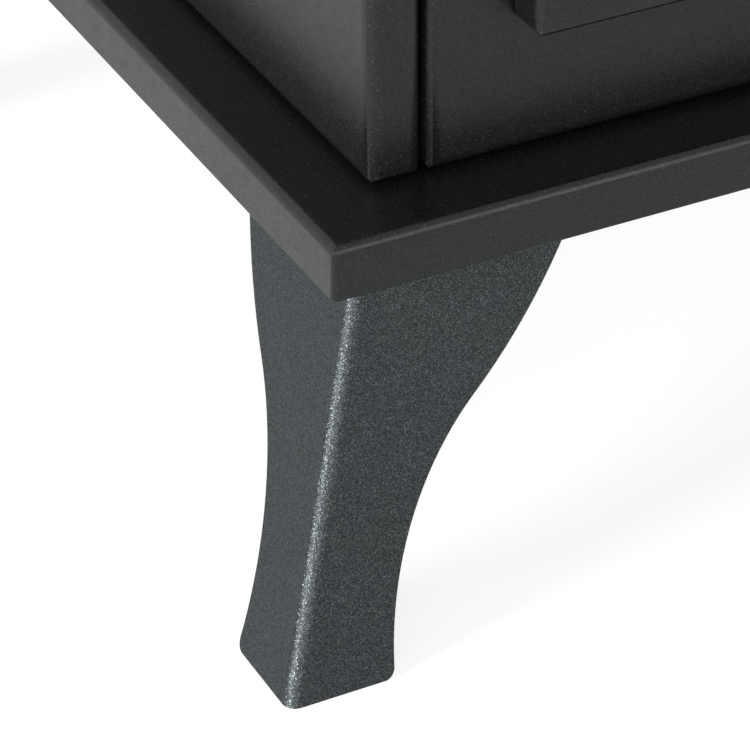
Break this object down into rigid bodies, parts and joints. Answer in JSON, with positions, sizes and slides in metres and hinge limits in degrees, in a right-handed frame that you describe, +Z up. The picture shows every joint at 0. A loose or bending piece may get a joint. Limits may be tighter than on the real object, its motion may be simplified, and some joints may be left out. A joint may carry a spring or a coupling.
{
  "type": "bioethanol fireplace",
  "caption": "Freestanding bioethanol fireplace in the shape of a small stove, charcoal sheet steel on splayed bent legs, with a glazed door and a lift-out burner",
  "frame": {"origin": "on the floor, under the middle of the body", "axes": "+Z up, the door faces -Y, +X to the right seen from the front"},
  "size_m": [0.57, 0.445, 0.5975],
  "materials": {
    "powder_coat": "fine smooth matte charcoal powder coat",
    "leg_coat": "coarser sparkling charcoal metallic coat",
    "heat_paint": "matte black heat-resistant paint",
    "zinc": "bright zinc plate",
    "stainless": "brushed stainless steel",
    "clear_glass": "clear toughened glass",
    "seal": "flat woven heat-proof tape",
    "fibre": "soft white mineral fibre",
    "magnet": "matte black housing"
  },
  "bodies": {
    "stove": {"base_tray": "powder_coat", "top_plate": "powder_coat", "side_panel_left": "powder_coat", "side_panel_right": "powder_coat", "front_panel": "powder_coat", "back_panel": "powder_coat", "leg_front_left": "leg_coat", "leg_front_right": "leg_coat", "leg_rear_left": "leg_coat", "leg_rear_right": "leg_coat", "leg_bolts": "zinc", "leg_nuts": "zinc", "body_bolts": "zinc", "body_nuts": "zinc", "top_studs": "zinc", "top_nuts": "zinc", "back_screws": "zinc", "firebox_deck": "heat_paint", "firebox_liner_left": "heat_paint", "firebox_liner_right": "heat_paint", "firebox_back": "heat_paint", "firebox_baffle": "heat_paint", "liner_screws": "zinc", "rear_spacers": "zinc", "rear_screws": "zinc", "magnet_catch": "magnet", "catch_screws": "zinc", "hinge_leaf_upper": "powder_coat", "hinge_leaf_lower": "powder_coat", "hinge_pin_upper": "stainless", "hinge_pin_lower": "stainless", "hinge_screws": "zinc"},
    "door": {"door_frame": "powder_coat", "door_glass": "clear_glass", "glass_seal": "seal", "glass_strip_top": "zinc", "glass_strip_bottom": "zinc", "glass_strip_left": "zinc", "glass_strip_right": "zinc", "door_studs": "zinc", "strip_nuts": "zinc", "door_knob": "stainless", "knob_nut": "zinc", "strike_plate": "stainless", "door_knuckle_upper": "powder_coat", "door_knuckle_lower": "powder_coat"},
    "burner": {"burner_tank": "stainless", "burner_wool": "fibre", "burner_cover": "stainless", "slide_rail_left": "stainless", "slide_rail_right": "stainless"},
    "regulator": {"burner_slide": "stainless"}
  },
  "joints": [
    {"name": "door_swing", "type": "hinge", "parent": "stove", "child": "door", "pos_m": [-0.1775, -0.1685, 0.3605], "axis": [0, 0, -1], "range_deg": [0, 110]},
    {"name": "burner_lift", "type": "slide", "parent": "stove", "child": "burner", "axis": [0, 0, 1], "range_m": [0, 0.07]},
    {"name": "regulator_slide", "type": "slide", "parent": "burner", "child": "regulator", "axis": [0, 1, 0], "range_m": [0, 0.044]}
  ]
}
